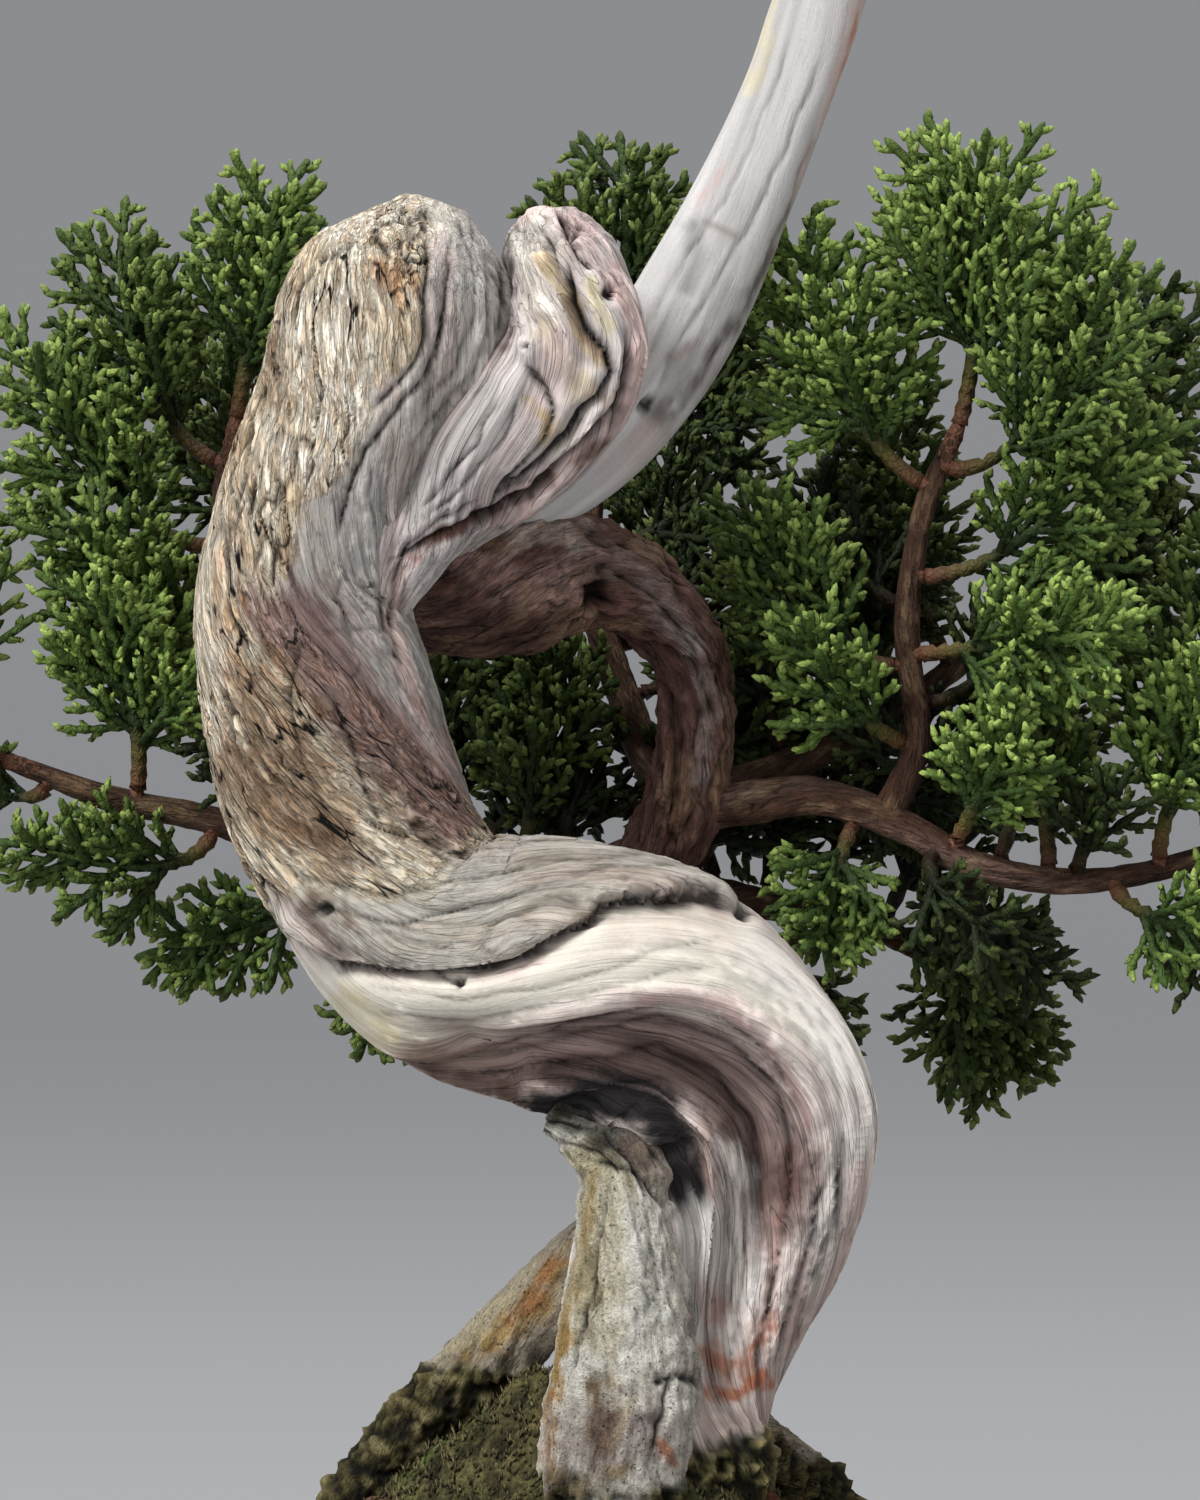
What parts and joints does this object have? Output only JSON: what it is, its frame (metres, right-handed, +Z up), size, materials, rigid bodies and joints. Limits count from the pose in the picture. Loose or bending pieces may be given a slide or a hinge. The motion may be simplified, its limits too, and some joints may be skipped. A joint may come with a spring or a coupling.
{
  "type": "potted juniper bonsai",
  "caption": "Small juniper bonsai with a twisted bleached trunk, a strip of live bark, a dead top spike and sprays of cord-like foliage, planted in a shallow unglazed pot.",
  "frame": {"origin": "middle of the pot's footprint, on the surface that the pot stands on", "axes": "+Z up, -Y towards the front of the tree, +X to the right of someone looking at the front"},
  "size_m": [0.1669, 0.1, 0.229],
  "materials": {
    "wood": "weathered, grey to cream deadwood with a strip of flaking bark",
    "foliage": "satin scale leaves, deep green with lighter tips",
    "pot": "matt unglazed stoneware",
    "soil": "matt granules with moss on the mound",
    "screen": "matt black net"
  },
  "bodies": {
    "root": {"drain_screen_left": "screen", "drain_screen_right": "screen", "pot": "pot", "soil": "soil", "spray_01": "foliage", "spray_02": "foliage", "spray_03": "foliage", "spray_04": "foliage", "spray_05": "foliage", "spray_06": "foliage", "spray_07": "foliage", "spray_08": "foliage", "spray_09": "foliage", "spray_10": "foliage", "spray_11": "foliage", "spray_12": "foliage", "spray_13": "foliage", "spray_14": "foliage", "spray_15": "foliage", "spray_16": "foliage", "spray_17": "foliage", "spray_18": "foliage", "spray_19": "foliage", "spray_20": "foliage", "spray_21": "foliage", "spray_22": "foliage", "spray_23": "foliage", "spray_24": "foliage", "spray_25": "foliage", "spray_26": "foliage", "spray_27": "foliage", "spray_28": "foliage", "spray_29": "foliage", "spray_30": "foliage", "spray_31": "foliage", "spray_32": "foliage", "spray_33": "foliage", "spray_34": "foliage", "spray_35": "foliage", "spray_36": "foliage", "spray_37": "foliage", "spray_38": "foliage", "spray_39": "foliage", "spray_40": "foliage", "spray_41": "foliage", "spray_42": "foliage", "tree_wood": "wood"}
  },
  "joints": []
}
